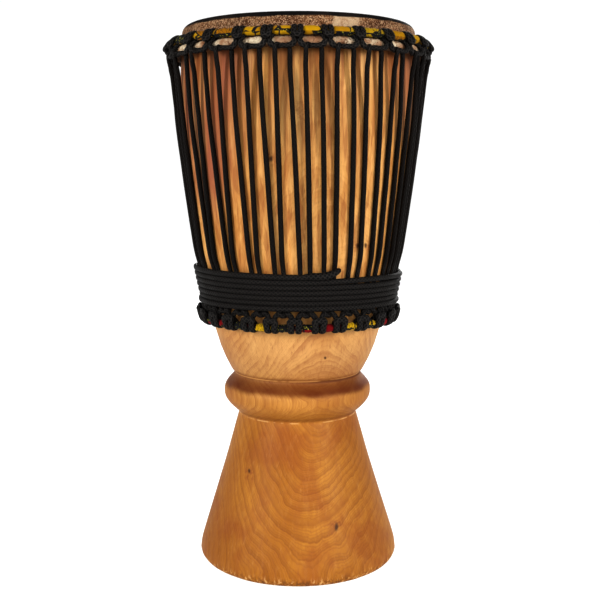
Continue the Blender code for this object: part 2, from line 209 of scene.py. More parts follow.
# ------------------------------------------------------------------ materials
def wood_material():
    g = Graph("carved_hardwood")
    p, x, y, z = g.object_xyz()
    # rings round a pith in front of the drum's axis, bent by slow and quick drifts
    slow = g.noise(g.scaled(p, (1, 1, 0.55)), 7.0, 2.0, 0.5, colour=True)
    quick = g.noise(g.scaled(p, (1, 1, 0.6)), 34.0, 3.0, 0.55, colour=True)
    ss = g.add("ShaderNodeSeparateColor", {0: slow})
    qs = g.add("ShaderNodeSeparateColor", {0: quick})
    wx = g.plus(x, g.plus(g.mul(g.m("SUBTRACT", ss.outputs[0], 0.5), 0.034), g.mul(g.m("SUBTRACT", qs.outputs[0], 0.5), 0.0060)))
    wy = g.plus(y, g.plus(g.mul(g.m("SUBTRACT", ss.outputs[1], 0.5), 0.034), g.mul(g.m("SUBTRACT", qs.outputs[1], 0.5), 0.0060)))
    dx = g.m("SUBTRACT", wx, 0.010)
    dy = g.m("ADD", wy, 0.032)
    dist = g.m("SQRT", g.plus(g.mul(dx, dx), g.mul(dy, dy)))
    # ring spacing changes with the distance from the pith
    spread = g.noise(g.vec(dist, 0.0, 0.0), 55.0, 2.0, 0.5)
    ring = g.plus(g.mul(dist, 250.0), g.mul(spread, 5.0))
    part = g.m("FRACT", ring)
    late = g.mul(g.smooth(part, 0.20, 0.93), g.smooth(part, 1.0, 0.95))
    strong = g.noise(g.vec(g.mul(dist, 1.0), g.mul(z, 0.02), 3.0), 120.0, 2.0, 0.5)
    late = g.mul(late, g.span(strong, 0.35, 0.65, 0.25, 1.0))
    # below the band and on the neck ring the lines fade in and out along their length
    fade = g.noise(g.scaled(p, (1.0, 1.0, 1.4)), 26.0, 2.0, 0.5)
    plain = g.mul(g.smooth(z, 0.330, 0.290), g.smooth(z, 0.172, 0.178))
    late = g.mul(late, g.mixf(plain, 1.0, g.span(fade, 0.42, 0.58, 0.32, 1.15)))
    thin = g.m("FRACT", g.plus(g.mul(ring, 4.0), g.mul(qs.outputs[2], 0.6)))
    thin = g.mul(g.smooth(thin, 0.45, 0.92), g.smooth(thin, 1.0, 0.94))
    # fibres and pores run along the log
    fibre = g.noise(g.scaled(p, (380.0, 380.0, 14.0)), 1.0, 3.0, 0.6)
    streak = g.noise(g.scaled(p, (110.0, 110.0, 5.0)), 1.0, 3.0, 0.6)
    pores = g.noise(g.scaled(p, (1000.0, 1000.0, 90.0)), 1.0, 2.0, 0.5)
    cloud = g.noise(g.scaled(p, (1, 1, 0.6)), 14.0, 3.0, 0.55)
    tone = g.smooth(cloud, 0.32, 0.68)

    bowl = g.mix(tone, (0.490, 0.250, 0.072), (0.610, 0.362, 0.132))
    bowl = g.mix(g.mul(late, g.mixf(g.smooth(z, 0.27, 0.33), 0.60, 0.42)), bowl, (0.320, 0.118, 0.028))
    foot = g.mix(tone, (0.345, 0.136, 0.014), (0.450, 0.206, 0.030))
    foot = g.mix(g.mul(late, 0.50), foot, (0.200, 0.060, 0.006))
    red = g.noise(g.scaled(p, (1, 1, 0.8)), 17.0, 4.0, 0.6)
    flank = g.smooth(g.m("ABSOLUTE", g.plus(x, 0.004)), 0.030, 0.085)
    red = g.m("ADD", g.mul(g.smooth(red, 0.49, 0.64), 0.52), g.mul(flank, 0.12), clamp=True)
    foot = g.mix(red, foot, (0.275, 0.078, 0.011))
    low = g.add("ShaderNodeMapRange", {"Value": z, "From Min": 0.268, "From Max": 0.162, "To Min": 0.0, "To Max": 1.0}).outputs[0]
    col = g.mix(low, bowl, foot)
    col = g.mix(g.mul(thin, g.mixf(low, 0.12, 0.34)), col, (0.240, 0.080, 0.014))
    col = g.mix(g.mul(g.smooth(streak, 0.46, 0.66), g.mixf(g.smooth(z, 0.26, 0.34), 0.16, 0.42)), col, (0.310, 0.118, 0.030))
    line = g.noise(g.scaled(p, (210.0, 210.0, 4.0)), 1.0, 2.0, 0.5)
    col = g.mix(g.mul(g.smooth(line, 0.54, 0.61), g.mixf(g.smooth(z, 0.27, 0.33), 0.03, 0.46)), col, (0.240, 0.078, 0.016))
    col = g.mix(g.mul(g.smooth(line, 0.44, 0.37), g.mixf(g.smooth(z, 0.27, 0.33), 0.04, 0.30)), col, (0.700, 0.430, 0.170))
    col = g.mix(g.mul(g.smooth(fibre, 0.50, 0.70), 0.32), col, (0.290, 0.105, 0.026))
    col = g.mix(g.mul(g.smooth(fibre, 0.45, 0.22), 0.12), col, (0.700, 0.440, 0.180))
    col = g.mix(g.mul(g.smooth(pores, 0.62, 0.72), 0.30), col, (0.180, 0.060, 0.014))

    # the lower part is a little deeper in colour
    col = g.mix(g.mul(g.mul(g.smooth(z, 0.315, 0.255), g.smooth(z, 0.205, 0.235)), 0.17), col, (0.0, 0.010, 0.060))
    col = g.mix(g.mul(g.smooth(z, 0.235, 0.205), 0.115), col, (0.020, 0.010, 0.0))
    # reddish heartwood on the left of the bowl and near the rim on the right; dark streaks under the rim that are
    # partly stain, partly painted shade from the crown
    blotch = g.noise(g.scaled(p, (1, 1, 0.25)), 30.0, 3.0, 0.6)
    left = g.mul(g.smooth(g.plus(x, g.mul(g.m("SUBTRACT", z, 0.57), -0.16)), -0.034, -0.072), g.smooth(z, 0.37, 0.45))
    right = g.mul(g.smooth(x, 0.072, 0.108), g.smooth(z, 0.44, 0.56))
    stain = g.m("MAXIMUM", left, g.mul(right, 0.85))
    stain = g.m("MULTIPLY", stain, g.span(blotch, 0.35, 0.62, 0.45, 1.0), clamp=True)
    col = g.mix(g.mul(stain, 0.86), col, (0.285, 0.088, 0.050))
    # painted shade from the crown and from the legs' shadows, laid over dark stain streaks high on the bowl
    stain_and_crown_shade = g.mul(g.smooth(z, 0.490, 0.565), g.smooth(streak, 0.42, 0.62))
    col = g.mix(g.mul(stain_and_crown_shade, 0.64), col, (0.175, 0.054, 0.008))
    # painted shade just under the crown, partly dark stain: the top of the bowl is darkened
    rim = g.mul(g.smooth(z, 0.552, 0.574), g.span(blotch, 0.35, 0.62, 0.70, 1.0))
    col = g.mix(g.mul(rim, 0.52), col, (0.115, 0.034, 0.007))

    # painted shade, partly oil and dust, darkens the two grooves of the neck and the upper face of its ring
    def band(z0, half):
        d = g.m("ABSOLUTE", g.m("SUBTRACT", z, z0))
        return g.smooth(d, half, half * 0.2)
    drift = g.mul(g.m("SUBTRACT", g.noise(p, 30.0, 3.0), 0.5), 0.0075)
    zz = g.plus(z, drift)
    # upper face of the ring: painted shade where little light falls from above, partly dirt
    shelf = g.mul(g.smooth(zz, 0.2275, 0.2205), g.smooth(zz, 0.2030, 0.2100))
    shelf = g.mul(g.mul(shelf, g.span(zz, 0.2120, 0.2190, 1.0, 0.72)), g.span(g.noise(p, 60.0, 3.0), 0.3, 0.7, 0.82, 1.0))
    col = g.mix(g.mul(shelf, 0.93), col, (0.112, 0.022, 0.003))
    # the two grooves: painted shade in the recesses, partly dirt
    groove = g.m("MAXIMUM", g.mul(band(0.2204, 0.0020), g.smooth(x, -0.020, 0.040)), g.mul(band(0.1765, 0.0040), 0.30))
    # pale line along the upper groove's edge: partly worn wood, partly a painted highlight
    edge_wear_and_highlight = g.mul(band(0.2218, 0.0011), g.smooth(g.noise(g.scaled(p, (1, 1, 0.2)), 30.0, 3.0), 0.40, 0.52))
    col = g.mix(g.mul(edge_wear_and_highlight, 0.55), col, (0.640, 0.360, 0.130))
    col = g.mix(g.mul(groove, 0.75), col, (0.100, 0.030, 0.010))
    # pale line at the lower groove: partly chipped wood, partly a painted highlight
    chip_and_highlight = g.mul(band(0.1732, 0.0011), g.smooth(g.noise(g.scaled(p, (1, 1, 0.2)), 60.0, 4.0), 0.44, 0.60))
    col = g.mix(g.mul(chip_and_highlight, 0.40), col, (0.680, 0.450, 0.200))

    # knots: small dark eyes in darker halos
    jx = g.plus(x, g.mul(g.m("SUBTRACT", qs.outputs[0], 0.5), 0.004))
    jz = g.plus(z, g.mul(g.m("SUBTRACT", qs.outputs[1], 0.5), 0.004))
    front = g.smooth(y, 0.0, -0.02)

    def eye(cx, cz, wide, tall):
        ex = g.m("DIVIDE", g.m("SUBTRACT", jx, cx), wide)
        ez = g.m("DIVIDE", g.m("SUBTRACT", jz, cz), tall)
        d = g.m("SQRT", g.plus(g.mul(ex, ex), g.mul(ez, ez)))
        return g.mul(g.smooth(d, 1.0, 0.25), front)
    halo = g.m("MAXIMUM", eye(0.040, 0.0655, 0.0130, 0.0055), eye(-0.056, 0.1150, 0.0100, 0.0120))
    halo = g.m("MAXIMUM", halo, g.m("MAXIMUM", eye(0.0045, 0.512, 0.0130, 0.0170), eye(-0.0285, 0.4640, 0.0070, 0.0110)))
    halo = g.m("MAXIMUM", halo, g.m("MAXIMUM", eye(0.0620, 0.3735, 0.0080, 0.0090), eye(0.0730, 0.3735, 0.0080, 0.0090)))
    col = g.mix(g.mul(halo, g.mul(g.smooth(g.noise(p, 190.0, 4.0, 0.65), 0.38, 0.62), 0.62)), col, (0.220, 0.064, 0.014))
    eyes = g.m("MAXIMUM", eye(0.0412, 0.0622, 0.0030, 0.0058), eye(0.0290, 0.2502, 0.0020, 0.0026))
    eyes = g.m("MAXIMUM", eyes, g.m("MAXIMUM", eye(-0.0280, 0.4640, 0.0028, 0.0040), eye(0.0620, 0.3735, 0.0026, 0.0040)))
    eyes = g.m("MAXIMUM", eyes, g.m("MAXIMUM", eye(0.0716, 0.3735, 0.0024, 0.0040), eye(-0.0560, 0.1180, 0.0020, 0.0034)))
    col = g.mix(g.mul(eyes, 0.88), col, (0.060, 0.020, 0.007))

    # the foot's edge is worn and rough: pale and dark splinters
    worn = g.smooth(z, 0.0150, 0.0030)
    bits = g.noise(g.scaled(p, (1, 1, 0.35)), 260.0, 4.0, 0.65)
    col = g.mix(g.mul(worn, g.mul(g.smooth(bits, 0.52, 0.62), 0.65)), col, (0.680, 0.440, 0.200))
    col = g.mix(g.mul(worn, g.mul(g.smooth(bits, 0.47, 0.38), 0.80)), col, (0.130, 0.048, 0.014))
    # inside: darker, unfinished
    inside = g.uv()[2]
    col = g.mix(g.mul(g.smooth(inside, 0.52, 0.54), 0.45), col, (0.26, 0.12, 0.045))
    g.out("Base Color", col)
    rough = g.plus(0.46, g.mul(g.noise(p, 45.0, 3.0), 0.16))
    g.out("Roughness", g.plus(rough, g.mul(g.m("MAXIMUM", groove, worn), 0.25)))
    g.out("Specular IOR Level", 0.20)
    n1 = g.bump(g.mul(fibre, 1.0), 0.22, 0.00022)
    n2 = g.bump(g.mul(late, -1.0), 0.22, 0.00015, n1)
    n3 = g.bump(g.noise(g.scaled(p, (1, 1, 0.3)), 55.0, 2.0), 0.28, 0.0010, n2)
    g.out("Normal", g.bump(g.mul(worn, bits), 0.8, 0.0012, n3))
    return g.mat


def hide_material():
    g = Graph("goat_hide")
    p, x, y, z = g.object_xyz()
    grain = g.noise(p, 760.0, 4.0, 0.70)
    mottle = g.noise(p, 190.0, 5.0, 0.65)
    cloud = g.noise(p, 28.0, 3.0, 0.5)
    hairs = g.noise(g.scaled(p, (900.0, 900.0, 240.0)), 1.0, 2.0, 0.6)
    brown = g.mix(g.smooth(cloud, 0.36, 0.64), (0.105, 0.044, 0.020), (0.195, 0.094, 0.042))
    col = g.mix(g.mul(g.smooth(mottle, 0.46, 0.60), 0.72), brown, (0.320, 0.208, 0.120))
    col = g.mix(g.mul(g.smooth(grain, 0.50, 0.58), 0.86), col, (0.030, 0.011, 0.005))
    col = g.mix(g.mul(g.smooth(grain, 0.465, 0.39), 0.76), col, (0.500, 0.355, 0.230))
    # smooth pale patch on the collar, front right
    px = g.plus(x, g.mul(g.m("SUBTRACT", g.noise(p, 70.0, 3.0), 0.5), 0.022))
    patch = g.mul(g.smooth(g.m("ABSOLUTE", g.m("SUBTRACT", px, 0.0490)), 0.0175, 0.0110), g.smooth(y, 0.0, -0.03))
    pale = g.mix(g.mul(g.smooth(mottle, 0.46, 0.62), 0.75), (0.480, 0.370, 0.245), (0.300, 0.180, 0.105))
    col = g.mix(g.mul(patch, 0.70), col, pale)
    # the roll over the flesh hoop: paler, from cream to brown
    tone = g.noise(p, 62.0, 3.0, 0.6)
    roll = g.ramp(tone, [(0.30, (0.230, 0.115, 0.058)), (0.42, (0.330, 0.205, 0.125)), (0.50, (0.450, 0.350, 0.240)),
                         (0.60, (0.600, 0.530, 0.400)), (0.72, (0.400, 0.270, 0.165))])
    roll = g.mix(g.mul(g.smooth(grain, 0.50, 0.60), 0.45), roll, (0.240, 0.120, 0.065))
    vein = g.m("ABSOLUTE", g.m("SUBTRACT", g.noise(g.scaled(p, (1, 1, 0.7)), 95.0, 3.0, 0.6, 0.4), 0.5))
    roll = g.mix(g.mul(g.smooth(vein, 0.022, 0.006), 0.75), roll, (0.110, 0.045, 0.022))
    # painted shade on the roll's underside, below the hoop
    roll = g.mix(g.mul(g.smooth(z, 0.5790, 0.5765), 0.85), roll, (0.075, 0.032, 0.014))
    col = g.mix(g.smooth(z, 0.5880, 0.5855), col, roll)
    # dark playing surface, showing over the edge
    ang = g.m("ARCTAN2", x, g.m("MULTIPLY", y, -1.0))
    side = g.smooth(g.m("ABSOLUTE", g.m("SINE", ang)), 0.62, 0.95)
    wavy = g.mul(g.m("SUBTRACT", g.noise(g.vec(g.mul(x, 1.0), g.mul(y, 1.0), 0.0), 34.0, 3.0), 0.5), 0.0040)
    border = g.plus(g.plus(0.6064, g.mul(side, 0.0004)), wavy)
    top = g.smooth(g.m("SUBTRACT", z, border), -0.0006, 0.0006)
    veins = g.noise(p, 18.0, 5.0, 0.65, 0.6)
    field = g.smooth(g.m("SQRT", g.plus(g.mul(x, x), g.mul(y, y))), 0.118, 0.085)
    skin = g.mix(g.smooth(veins, 0.40, 0.68), (0.0075, 0.0068, 0.0066), g.mix(field, (0.022, 0.016, 0.013), (0.075, 0.048, 0.031)))
    spine = g.m("ABSOLUTE", g.plus(x, g.mul(g.m("SUBTRACT", cloud, 0.5), 0.020)))
    skin = g.mix(g.mul(g.smooth(spine, 0.018, 0.002), 0.55), skin, (0.0060, 0.0050, 0.0046))
    skin = g.mix(g.mul(g.smooth(mottle, 0.55, 0.75), 0.35), skin, (0.028, 0.020, 0.015))
    col = g.mix(top, col, skin)
    g.out("Base Color", col)
    g.out("Roughness", g.mixf(top, g.plus(0.52, g.mul(mottle, 0.2)), g.plus(0.62, g.mul(veins, 0.20))))
    g.out("Specular IOR Level", 0.04)
    n1 = g.bump(grain, 0.6, 0.0005)
    n2 = g.bump(hairs, 0.35, 0.0003, n1)
    n3 = g.bump(cloud, 0.35, 0.0012, n2)
    g.out("Normal", n3)
    return g.mat


def rope_material(name="black_plaited_rope"):
    """Black plaited sheath. The plait follows the rope: u runs along it in metres, v once round it."""
    g = Graph(name)
    o, u, v = g.uv()
    a = g.mul(u, 2 * math.pi / PLAIT)
    b = g.mul(v, 2 * math.pi * 5)
    s1 = g.m("SINE", g.plus(a, b))
    s2 = g.m("SINE", g.m("SUBTRACT", a, b))
    weave = g.m("MAXIMUM", s1, s2)
    yarn = g.noise(g.vec(g.mul(u, 2600.0), g.mul(v, 40.0)), 1.0, 2.0, 0.5)
    p, x, y, z = g.object_xyz()
    dust = g.noise(p, 50.0, 4.0, 0.6)
    col = g.mix(g.smooth(weave, 0.28, 1.0), (0.0003, 0.0003, 0.0004), (0.0265, 0.0228, 0.0205))
    col = g.mix(g.mul(g.smooth(dust, 0.50, 0.80), 0.40), col, (0.015, 0.012, 0.010))
    # the legs are darker and browner than the hitches and the binding
    leg = g.mul(g.smooth(z, 0.3450, 0.3540), g.smooth(z, 0.5760, 0.5680))
    col = g.mix(g.mul(leg, 0.80), col, (0.0036, 0.0014, 0.0004))
    g.out("Base Color", col)
    g.out("Roughness", g.plus(0.50, g.mul(yarn, 0.15)))
    g.out("Specular IOR Level", 0.12)
    n1 = g.bump(weave, 0.70, 0.00040)
    g.out("Normal", g.bump(yarn, 0.3, 0.0001, n1))
    return g.mat


def cloth_material(name, ground, accents, black_share):
    """A generic wax-print-like cotton: patches of colour, black ground with small dots, wavy lines."""
    g = Graph(name)
    o, u, v = g.uv()
    flat = g.vec(u, v)
    warp = g.noise(flat, 90.0, 2.0, 0.5, colour=True)
    wv = g.vadd(flat, g.scaled(g.vadd(warp, (-0.5, -0.5, -0.5)), (0.010, 0.010, 0.0)))
    patch = g.cells(wv, 50.0, out="Color")
    sep = g.add("ShaderNodeSeparateColor", {0: patch})
    pick, pick2 = sep.outputs[0], sep.outputs[1]
    col = g.ramp(pick2, [(0.0, ground)] + accents, "CONSTANT")
    edge = g.cells(wv, 50.0, feature="DISTANCE_TO_EDGE")
    lines = g.m("SINE", g.plus(g.mul(u, 1500.0), g.mul(g.noise(flat, 160.0, 2.0), 24.0)))
    dots = g.cells(g.scaled(flat, (1.0, 1.0, 1.0)), 520.0)
    black = g.mix(g.smooth(dots, 0.30, 0.22), (0.008, 0.008, 0.009), (0.300, 0.270, 0.030))
    is_black = g.m("LESS_THAN", pick, black_share)
    col = g.mix(g.mul(g.smooth(lines, 0.82, 0.95), g.m("GREATER_THAN", pick2, 0.55)), col, (0.015, 0.010, 0.008))
    col = g.mix(g.smooth(edge, 0.06, 0.03), col, (0.012, 0.010, 0.010))
    col = g.mix(is_black, col, black)
    g.out("Base Color", col)
    g.out("Roughness", 0.82)
    g.out("Specular IOR Level", 0.10)
    g.out("Sheen Weight", 0.04)
    g.out("Sheen Roughness", 0.5)
    warp_t = g.m("SINE", g.mul(u, 2 * math.pi / 0.00045))
    weft_t = g.m("SINE", g.mul(v, 2 * math.pi / 0.00045))
    n1 = g.bump(g.m("MULTIPLY", warp_t, weft_t), 0.35, 0.00012)
    n2 = g.bump(g.noise(g.scaled(flat, (220.0, 90.0, 1.0)), 1.0, 3.0), 0.5, 0.0006, n1)
    g.out("Normal", n2)
    return g.mat


def steel_material():
    g = Graph("hoop_rod_steel")
    p, x, y, z = g.object_xyz()
    streak = g.noise(g.scaled(p, (60.0, 60.0, 900.0)), 1.0, 3.0, 0.6)
    rust = g.noise(p, 70.0, 4.0, 0.65)
    col = g.mix(g.mul(streak, 0.5), (0.42, 0.42, 0.43), (0.30, 0.30, 0.31))
    col = g.mix(g.mul(g.smooth(rust, 0.60, 0.75), 0.6), col, (0.20, 0.085, 0.035))
    g.out("Base Color", col)
    g.out("Metallic", 0.95)
    g.out("Roughness", g.plus(0.34, g.mul(streak, 0.25)))
    g.out("Normal", g.bump(streak, 0.2, 0.0002))
    return g.mat


# ------------------------------------------------------------------ mesh helpers
def at(deg, r, z):
    a = math.radians(deg)
    return Vector((r * math.sin(a), -r * math.cos(a), z))


def hermite(stations, h):
    """Smooth curve through (position, value) stations; h is an array."""
    s = np.array(stations, float)
    x, v = s[:, 0], s[:, 1]
    m = np.empty(len(x))
    m[1:-1] = (v[2:] - v[:-2]) / (x[2:] - x[:-2])
    m[0] = (v[1] - v[0]) / (x[1] - x[0])
    m[-1] = (v[-1] - v[-2]) / (x[-1] - x[-2])
    h = np.clip(np.asarray(h, float), x[0], x[-1])
    i = np.clip(np.searchsorted(x, h) - 1, 0, len(x) - 2)
    d = x[i + 1] - x[i]
    t = (h - x[i]) / d
    return ((2 * t**3 - 3 * t**2 + 1) * v[i] + (t**3 - 2 * t**2 + t) * d * m[i]
            + (-2 * t**3 + 3 * t**2) * v[i + 1] + (t**3 - t**2) * d * m[i + 1])


def link(name, mesh, mat, nodes):
    ob = bpy.data.objects.new(name, mesh)
    bpy.context.scene.collection.objects.link(ob)
    mesh.materials.append(mat)
    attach(ob, "root")
    if nodes:
        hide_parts(*nodes)
    return ob


def lathe(name, profile, segments, shape=None, u_scale=1.0, v_scale=None):
    """Turned surface from a closed loop of (r, z) points. Points on the axis become one vertex each.
    shape(a, r, z, i) gives the moved (x, y, z) of the whole grid at once."""
    prof = np.array(profile, float)
    n = len(prof)
    a = np.linspace(0, 2 * math.pi, segments, endpoint=False)
    A, R = np.meshgrid(a, prof[:, 0], indexing="xy")
    _, Z = np.meshgrid(a, prof[:, 1], indexing="xy")
    if shape:
        X, Y, Z = shape(A, R, Z)
    else:
        X, Y = R * np.sin(A), -R * np.cos(A)
    verts = np.stack([X, Y, Z], -1).reshape(-1, 3)
    length = np.concatenate([[0], np.cumsum(np.hypot(*np.diff(prof, axis=0).T))])
    v_of = length / length[-1] if v_scale is None else length * v_scale
    faces, uvs = [], []
    on_axis = prof[:, 0] < 1e-9
    last = n if not (on_axis[0] and on_axis[-1]) else n - 1
    for i in range(last):
        k = (i + 1) % n
        va, vb = v_of[i], (v_of[k] if k else v_of[-1] + (v_of[1] - v_of[0]))
        for j in range(segments):
            l = (j + 1) % segments
            ua, ub = j / segments * u_scale, (j + 1) / segments * u_scale
            if on_axis[i]:
                faces.append((i * segments, k * segments + j, k * segments + l))
                uvs += [(ua, va), (ua, vb), (ub, vb)]
            elif on_axis[k]:
                faces.append((i * segments + j, k * segments, i * segments + l))
                uvs += [(ua, va), (ua, vb), (ub, va)]
            else:
                faces.append((i * segments + j, k * segments + j, k * segments + l, i * segments + l))
                uvs += [(ua, va), (ua, vb), (ub, vb), (ub, va)]
    mesh = bpy.data.meshes.new(name)
    mesh.from_pydata(verts.tolist(), [], faces)
    layer = mesh.uv_layers.new(name="UVMap")
    layer.data.foreach_set("uv", np.array(uvs, np.float32).ravel())
    # drop the unused copies of the points on the axis
    import bmesh
    bm = bmesh.new()
    bm.from_mesh(mesh)
    loose = [v for v in bm.verts if not v.link_faces]
    bmesh.ops.delete(bm, geom=loose, context="VERTS")
    bmesh.ops.recalc_face_normals(bm, faces=bm.faces)
    if bm.calc_volume(signed=True) < 0:
        bmesh.ops.reverse_faces(bm, faces=bm.faces)
    bm.to_mesh(mesh)
    bm.free()
    mesh.shade_smooth()
    return mesh


def spline(points, step, closed):
    """Points evenly spread on a Catmull-Rom curve through the given rows (x, y, z and any more columns)."""
    p = np.array(points, float)
    n = len(p)
    out = []
    last = n if closed else n - 1
    for i in range(last):
        if closed:
            a, b, c, d = p[(i - 1) % n], p[i], p[(i + 1) % n], p[(i + 2) % n]
        else:
            b, c = p[i], p[i + 1]
            a = p[i - 1] if i else 2 * b - c
            d = p[i + 2] if i + 2 < n else 2 * c - b
        gap = lambda q, w: max(np.linalg.norm(q[:3] - w[:3]), 1e-7) ** 0.5
        t0 = 0.0; t1 = t0 + gap(a, b); t2 = t1 + gap(b, c); t3 = t2 + gap(c, d)
        k = max(1, int(round(np.linalg.norm(c[:3] - b[:3]) / step)))
        t = (t1 + (t2 - t1) * np.arange(k) / k)[:, None]
        A1 = (t1 - t) / (t1 - t0) * a + (t - t0) / (t1 - t0) * b
        A2 = (t2 - t) / (t2 - t1) * b + (t - t1) / (t2 - t1) * c
        A3 = (t3 - t) / (t3 - t2) * c + (t - t2) / (t3 - t2) * d
        B1 = (t2 - t) / (t2 - t0) * A1 + (t - t0) / (t2 - t0) * A2
        B2 = (t3 - t) / (t3 - t1) * A2 + (t - t1) / (t3 - t1) * A3
        out.append((t2 - t) / (t2 - t1) * B1 + (t - t1) / (t2 - t1) * B2)
    if not closed:
        out.append(p[-1:])
    return np.concatenate(out)


def rope_mesh(name, rows, closed, sides=12):
    """Tube along rows of (x, y, z, radius, flatness, squeeze direction). A flatness below 1 squeezes
    the rope along that direction and leaves it as wide as before."""
    P, rad, flat = rows[:, :3], rows[:, 3], rows[:, 4]
    n = len(P)
    nxt, prv = np.roll(P, -1, 0), np.roll(P, 1, 0)
    T = nxt - prv
    if not closed:
        T[0], T[-1] = P[1] - P[0], P[-1] - P[-2]
    T /= np.linalg.norm(T, axis=1)[:, None]
    S = np.zeros_like(P)
    s = np.cross(T[0], (0.3, 0.5, 0.81)); s /= np.linalg.norm(s)
    for i in range(n):
        s = s - s.dot(T[i]) * T[i]
        s /= np.linalg.norm(s)
        S[i] = s
    B = np.cross(T, S)
    twist = 0.0
    if closed:
        s0 = S[-1] - S[-1].dot(T[0]) * T[0]; s0 /= np.linalg.norm(s0)
        twist = math.atan2(np.cross(s0, S[0]).dot(T[0]), s0.dot(S[0]))
    ang = 2 * math.pi * np.arange(sides) / sides
    A = ang[None, :] + (twist * np.arange(n) / n)[:, None]
    D = S[:, None] * np.cos(A)[..., None] + B[:, None] * np.sin(A)[..., None]
    Q = rows[:, 5:8]
    Q = Q - np.einsum("ik,ik->i", Q, T)[:, None] * T
    Q = Q / np.maximum(np.linalg.norm(Q, axis=1), 1e-6)[:, None]
    along = np.einsum("ijk,ik->ij", D, Q)
    D = D - (1 - flat)[:, None, None] * along[..., None] * Q[:, None]
    V = (P[:, None] + D * rad[:, None, None]).reshape(-1, 3)
    run = np.concatenate([[0], np.cumsum(np.linalg.norm(np.diff(P, axis=0), axis=1))])
    total = run[-1] + (np.linalg.norm(P[0] - P[-1]) if closed else 0)
    if closed:   # a whole number of plait repeats round the closed rope
        k = round(total / PLAIT) * PLAIT / total
        run, total = run * k, total * k
    last = n if closed else n - 1
    i = np.repeat(np.arange(last), sides)
    j = np.tile(np.arange(sides), last)
    k, l = (i + 1) % n, (j + 1) % sides
    F = np.stack([i * sides + j, i * sides + l, k * sides + l, k * sides + j], 1)
    ui, uk = run[i], np.where(i + 1 < n, run[k], total)
    vj, vl = j / sides, (j + 1) / sides
    UV = np.stack([ui, vj, ui, vl, uk, vl, uk, vj], 1).reshape(-1, 2)
    faces = F.tolist()
    uv = UV.tolist()
    if not closed:
        faces.append(list(range(sides))[::-1]); uv += [(0, 0)] * sides
        faces.append([(n - 1) * sides + q for q in range(sides)]); uv += [(total, 0)] * sides
    mesh = bpy.data.meshes.new(name)
    mesh.from_pydata(V.tolist(), [], faces)
    layer = mesh.uv_layers.new(name="UVMap")
    layer.data.foreach_set("uv", np.array(uv, np.float32).ravel())
    mesh.shade_smooth()
    import bmesh
    bm = bmesh.new(); bm.from_mesh(mesh)
    if bm.calc_volume(signed=True) < 0:
        bmesh.ops.reverse_faces(bm, faces=bm.faces)
    bm.to_mesh(mesh); bm.free()
    return mesh


# ------------------------------------------------------------------ form of the drum
OUTER = [
    (0.0228, .1133), (0.0952, .0910), (0.1240, .0823), (0.1385, .0783), (0.1600, .0723), (0.1690, .0697), (0.1738, .0684),
    (0.1762, .0699), (0.1781, .0721), (0.1818, .0762), (0.1856, .0799), (0.1892, .0826), (0.1929, .0845),
    (0.1965, .0853), (0.2000, .0854), (0.2037, .0850), (0.2072, .0836), (0.2107, .0811), (0.2142, .0781),
    (0.2178, .0748), (0.2205, .0736), (0.2249, .0765), (0.2321, .0803), (0.2393, .0839), (0.2465, .0868),
    (0.2537, .0897), (0.2608, .0918), (0.2680, .0941), (0.2860, .0991), (0.3000, .1021), (0.3250, .1075),
    (0.3487, .1123), (0.3740, .1167), (0.4200, .1232), (0.4645, .1289), (0.5100, .1322), (0.5400, .1329),
    (0.5690, .1320), (0.5800, .1306), (0.5930, .1280), (0.6022, .1272),
]
HOLLOW = [
    (0.0040, .0962), (0.0200, .0945), (0.0460, .0890), (0.0760, .0790), (0.1040, .0680), (0.1500, .0520), (0.1738, .0440),
    (0.1950, .0425), (0.2150, .0460), (0.2350, .0560), (0.2620, .0700), (0.3000, .0830), (0.3450, .0945),
    (0.4000, .1035), (0.4600, .1090), (0.5100, .1118), (0.5600, .1125), (0.5980, .1115),
]


def bowl(z):
    return float(hermite(OUTER, z))


def fbm(X, Y, Z, seed, octaves=2):
    """Smooth noise on arrays of points."""
    flat = np.stack([X.ravel(), Y.ravel(), Z.ravel()], 1)
    out = np.empty(len(flat))
    off = Vector((seed * 7.13, seed * 3.71, seed * 5.37))
    for i, q in enumerate(flat):
        v = Vector(q) + off
        out[i] = noise.noise(v) if octaves == 1 else noise.noise(v) + 0.5 * noise.noise(v * 2.1)
    return out.reshape(X.shape)


